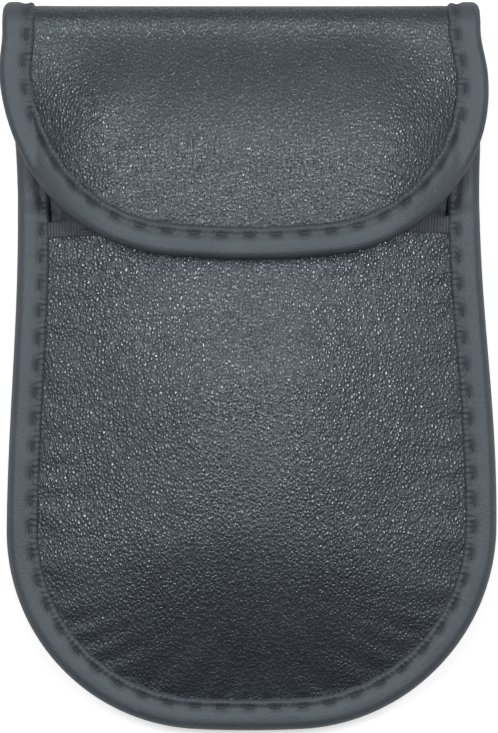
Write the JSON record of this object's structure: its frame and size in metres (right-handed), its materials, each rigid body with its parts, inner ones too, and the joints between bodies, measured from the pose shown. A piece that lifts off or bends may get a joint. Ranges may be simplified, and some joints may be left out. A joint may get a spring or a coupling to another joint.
{
  "type": "faraday key pouch",
  "caption": "Soft leatherette key pouch with a shielded inner pocket, a plain front pocket and a fold-over flap that closes with hook and loop.",
  "frame": {"origin": "on the surface that the pouch lies on, under the middle of its outline", "axes": "+Z out of the pouch's front, +Y towards the fold, +X to the right in the front view"},
  "size_m": [0.0944, 0.14, 0.0192],
  "materials": {
    "leatherette": "pebbled, semi-matt",
    "binding_tape": "smooth, matt",
    "ribbon": "ribbed weave",
    "woven_cloth": "plain weave, matt",
    "padding": "non-woven",
    "shielding": "metallised cloth",
    "silver_lining": "silver-coated cloth, slight sheen",
    "thread": "sewing thread",
    "hook_and_loop": "pile"
  },
  "bodies": {
    "pouch": {"back_panel": "leatherette", "back_padding": "padding", "back_shield": "shielding", "back_lining": "silver_lining", "divider_lining": "silver_lining", "divider_shield": "shielding", "divider_cloth": "woven_cloth", "divider_ribbon": "ribbon", "divider_ribbon_stitches": "thread", "loop_strip": "hook_and_loop", "loop_strip_stitches": "thread", "front_lining": "woven_cloth", "front_panel": "leatherette", "mouth_ribbon": "ribbon", "mouth_ribbon_stitches": "thread", "body_binding": "binding_tape", "body_binding_stitches": "thread"},
    "fold": {"fold_panel": "leatherette", "fold_padding": "padding", "fold_shield": "shielding", "fold_lining": "silver_lining", "fold_binding_left": "binding_tape", "fold_binding_right": "binding_tape", "fold_binding_stitches": "thread"},
    "flap": {"flap_panel": "leatherette", "flap_padding": "padding", "flap_shield": "shielding", "flap_lining": "silver_lining", "flap_binding": "binding_tape", "flap_binding_stitches": "thread", "hook_strip": "hook_and_loop", "hook_strip_stitches": "thread"}
  },
  "joints": [
    {"name": "fold_hinge", "type": "hinge", "parent": "pouch", "child": "fold", "pos_m": [0, 0.06495, 0.0024], "axis": [-1, 0, 0], "range_deg": [0, 60]},
    {"name": "flap_hinge", "type": "hinge", "parent": "fold", "child": "flap", "pos_m": [0, 0.06495, 0.0122], "axis": [-1, 0, 0], "range_deg": [0, 120]}
  ],
  "couplings": [
    {"joint": "flap_hinge", "follows": "fold_hinge", "ratio": 2}
  ]
}
